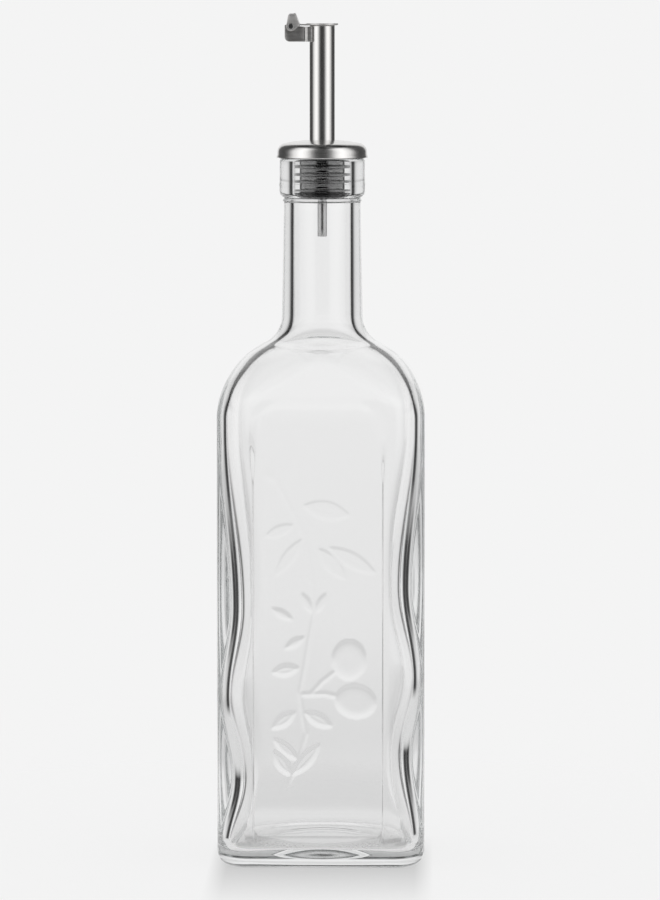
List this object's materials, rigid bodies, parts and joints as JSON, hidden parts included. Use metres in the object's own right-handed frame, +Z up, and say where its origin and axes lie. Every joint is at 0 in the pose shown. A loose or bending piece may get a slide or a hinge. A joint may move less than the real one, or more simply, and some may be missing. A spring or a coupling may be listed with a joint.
{
  "type": "oil bottle with pourer",
  "caption": "Square clear-glass oil bottle with waved side panels, a leaf relief and a lift-out steel pourer whose spout has a hinged flap lid.",
  "frame": {"origin": "centre of the square base, on the surface the bottle stands on", "axes": "+Z up along the neck and the spout, -Y out of the front panel with the leaf relief, -X towards the hinge of the lid"},
  "size_m": [0.0666, 0.0666, 0.2724],
  "materials": {
    "clear_glass": "clear moulded soda-lime glass",
    "dark_rubber": "smooth, slightly glossy elastomer",
    "brushed_cap": "satin stainless steel, turned round its axis",
    "brushed_tube": "satin stainless steel tube",
    "vent_steel": "drawn stainless steel tube",
    "sheet_steel": "satin stainless steel sheet",
    "pin_steel": "polished steel rivet"
  },
  "bodies": {
    "glass": {"bottle": "clear_glass"},
    "pourer": {"stopper": "dark_rubber", "cap": "brushed_cap", "spout_tube": "brushed_tube", "air_tube": "vent_steel", "hinge_bracket": "sheet_steel", "hinge_pin": "pin_steel"},
    "flap": {"lid": "sheet_steel"}
  },
  "joints": [
    {"name": "pourer_pull", "type": "slide", "parent": "glass", "child": "pourer", "axis": [0, 0, 1], "range_m": [0, 0.05]},
    {"name": "lid_hinge", "type": "hinge", "parent": "pourer", "child": "flap", "pos_m": [-0.01, 0, 0.2683], "axis": [0, -1, 0], "range_deg": [0, 100]}
  ]
}
